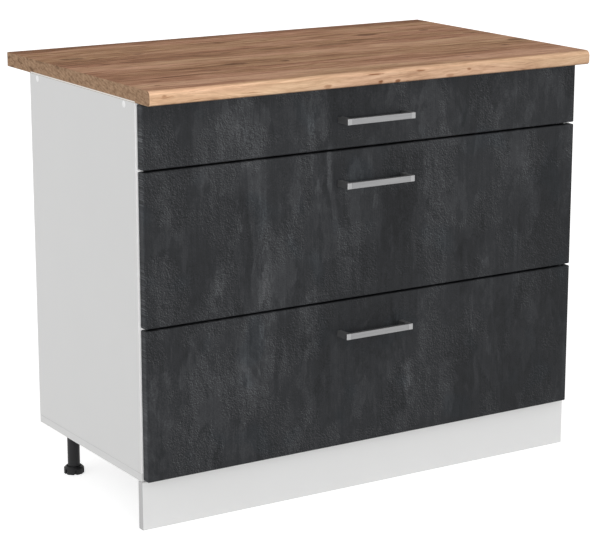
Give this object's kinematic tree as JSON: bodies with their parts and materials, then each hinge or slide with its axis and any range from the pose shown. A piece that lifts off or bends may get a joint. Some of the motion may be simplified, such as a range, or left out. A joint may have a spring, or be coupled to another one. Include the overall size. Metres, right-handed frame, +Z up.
{
  "type": "base cabinet with drawers",
  "caption": "Kitchen base cabinet with a rounded worktop and drawers on full-extension ball runners, on adjustable legs behind a plinth.",
  "frame": {"origin": "on the floor, under the middle of the worktop", "axes": "+X to the right seen from the front, +Y to the wall behind, +Z up; the drawers open towards -Y"},
  "size_m": [1, 0.6, 0.84],
  "materials": {
    "oak_worktop": "oak-grain laminate, fine satin texture",
    "graphite_front": "graphite plaster-look laminate on board, matt",
    "satin_handle": "brushed satin",
    "black_plastic": "moulded, matt",
    "white_cap": "smooth",
    "clear_bumper": "soft, milky",
    "dowel_wood": "beech, bare",
    "bright_steel": "bright, oiled",
    "zinc_runner": "zinc plated",
    "zinc_screw": "zinc plated",
    "white_hardboard": "white lacquered hardboard",
    "white_board": "white melamine on chipboard, matt"
  },
  "bodies": {
    "carcass": {"left_side_panel": "white_board", "right_side_panel": "white_board", "bottom_panel": "white_board", "front_top_rail": "white_board", "rear_top_rail": "white_board", "back_panel": "white_hardboard", "worktop": "oak_worktop", "plinth_board": "white_board", "plinth_clips": "black_plastic", "leg_tubes": "black_plastic", "carcass_screws": "zinc_screw", "screw_caps": "white_cap", "dowels": "dowel_wood", "worktop_screws": "zinc_screw", "leg_screws": "zinc_screw", "runner_screws": "zinc_screw", "front_bumpers": "clear_bumper", "bottom_runner_cabinet_members": "zinc_runner", "middle_runner_cabinet_members": "zinc_runner", "top_runner_cabinet_members": "zinc_runner"},
    "bottom_drawer": {"bottom_drawer_front": "graphite_front", "bottom_handle": "satin_handle", "bottom_drawer_left_side": "white_board", "bottom_drawer_right_side": "white_board", "bottom_drawer_inner_front": "white_board", "bottom_drawer_back": "white_board", "bottom_drawer_bottom": "white_hardboard", "bottom_drawer_screws": "zinc_screw", "bottom_runner_drawer_members": "zinc_runner"},
    "bottom_middle_members": {"bottom_runner_middle_members": "zinc_runner"},
    "bottom_outer_cages": {"bottom_outer_ball_cages": "bright_steel"},
    "bottom_inner_cages": {"bottom_inner_ball_cages": "bright_steel"},
    "middle_drawer": {"middle_drawer_front": "graphite_front", "middle_handle": "satin_handle", "middle_drawer_left_side": "white_board", "middle_drawer_right_side": "white_board", "middle_drawer_inner_front": "white_board", "middle_drawer_back": "white_board", "middle_drawer_bottom": "white_hardboard", "middle_drawer_screws": "zinc_screw", "middle_runner_drawer_members": "zinc_runner"},
    "middle_middle_members": {"middle_runner_middle_members": "zinc_runner"},
    "middle_outer_cages": {"middle_outer_ball_cages": "bright_steel"},
    "middle_inner_cages": {"middle_inner_ball_cages": "bright_steel"},
    "top_drawer": {"top_drawer_front": "graphite_front", "top_handle": "satin_handle", "top_drawer_left_side": "white_board", "top_drawer_right_side": "white_board", "top_drawer_inner_front": "white_board", "top_drawer_back": "white_board", "top_drawer_bottom": "white_hardboard", "top_drawer_screws": "zinc_screw", "top_runner_drawer_members": "zinc_runner"},
    "top_middle_members": {"top_runner_middle_members": "zinc_runner"},
    "top_outer_cages": {"top_outer_ball_cages": "bright_steel"},
    "top_inner_cages": {"top_inner_ball_cages": "bright_steel"},
    "front_left_foot": {"front_left_foot": "black_plastic"},
    "front_right_foot": {"front_right_foot": "black_plastic"},
    "rear_left_foot": {"rear_left_foot": "black_plastic"},
    "rear_right_foot": {"rear_right_foot": "black_plastic"}
  },
  "joints": [
    {"name": "bottom_drawer_slide", "type": "slide", "parent": "carcass", "child": "bottom_drawer", "axis": [0, -1, 0], "range_m": [0, 0.4]},
    {"name": "bottom_middle_members_slide", "type": "slide", "parent": "carcass", "child": "bottom_middle_members", "axis": [0, -1, 0], "range_m": [0, 0.2]},
    {"name": "bottom_outer_cages_slide", "type": "slide", "parent": "carcass", "child": "bottom_outer_cages", "axis": [0, -1, 0], "range_m": [0, 0.1]},
    {"name": "bottom_inner_cages_slide", "type": "slide", "parent": "carcass", "child": "bottom_inner_cages", "axis": [0, -1, 0], "range_m": [0, 0.3]},
    {"name": "middle_drawer_slide", "type": "slide", "parent": "carcass", "child": "middle_drawer", "axis": [0, -1, 0], "range_m": [0, 0.4]},
    {"name": "middle_middle_members_slide", "type": "slide", "parent": "carcass", "child": "middle_middle_members", "axis": [0, -1, 0], "range_m": [0, 0.2]},
    {"name": "middle_outer_cages_slide", "type": "slide", "parent": "carcass", "child": "middle_outer_cages", "axis": [0, -1, 0], "range_m": [0, 0.1]},
    {"name": "middle_inner_cages_slide", "type": "slide", "parent": "carcass", "child": "middle_inner_cages", "axis": [0, -1, 0], "range_m": [0, 0.3]},
    {"name": "top_drawer_slide", "type": "slide", "parent": "carcass", "child": "top_drawer", "axis": [0, -1, 0], "range_m": [0, 0.4]},
    {"name": "top_middle_members_slide", "type": "slide", "parent": "carcass", "child": "top_middle_members", "axis": [0, -1, 0], "range_m": [0, 0.2]},
    {"name": "top_outer_cages_slide", "type": "slide", "parent": "carcass", "child": "top_outer_cages", "axis": [0, -1, 0], "range_m": [0, 0.1]},
    {"name": "top_inner_cages_slide", "type": "slide", "parent": "carcass", "child": "top_inner_cages", "axis": [0, -1, 0], "range_m": [0, 0.3]},
    {"name": "front_left_foot_turn", "type": "hinge", "parent": "carcass", "child": "front_left_foot", "pos_m": [-0.46, -0.2035, 0], "axis": [0, 0, 1], "continuous": true},
    {"name": "front_right_foot_turn", "type": "hinge", "parent": "carcass", "child": "front_right_foot", "pos_m": [0.46, -0.2035, 0], "axis": [0, 0, 1], "continuous": true},
    {"name": "rear_left_foot_turn", "type": "hinge", "parent": "carcass", "child": "rear_left_foot", "pos_m": [-0.46, 0.1275, 0], "axis": [0, 0, 1], "continuous": true},
    {"name": "rear_right_foot_turn", "type": "hinge", "parent": "carcass", "child": "rear_right_foot", "pos_m": [0.46, 0.1275, 0], "axis": [0, 0, 1], "continuous": true}
  ],
  "couplings": [
    {"joint": "bottom_middle_members_slide", "follows": "bottom_drawer_slide", "ratio": 0.5},
    {"joint": "bottom_outer_cages_slide", "follows": "bottom_drawer_slide", "ratio": 0.25},
    {"joint": "bottom_inner_cages_slide", "follows": "bottom_drawer_slide", "ratio": 0.75},
    {"joint": "middle_middle_members_slide", "follows": "middle_drawer_slide", "ratio": 0.5},
    {"joint": "middle_outer_cages_slide", "follows": "middle_drawer_slide", "ratio": 0.25},
    {"joint": "middle_inner_cages_slide", "follows": "middle_drawer_slide", "ratio": 0.75},
    {"joint": "top_middle_members_slide", "follows": "top_drawer_slide", "ratio": 0.5},
    {"joint": "top_outer_cages_slide", "follows": "top_drawer_slide", "ratio": 0.25},
    {"joint": "top_inner_cages_slide", "follows": "top_drawer_slide", "ratio": 0.75}
  ]
}
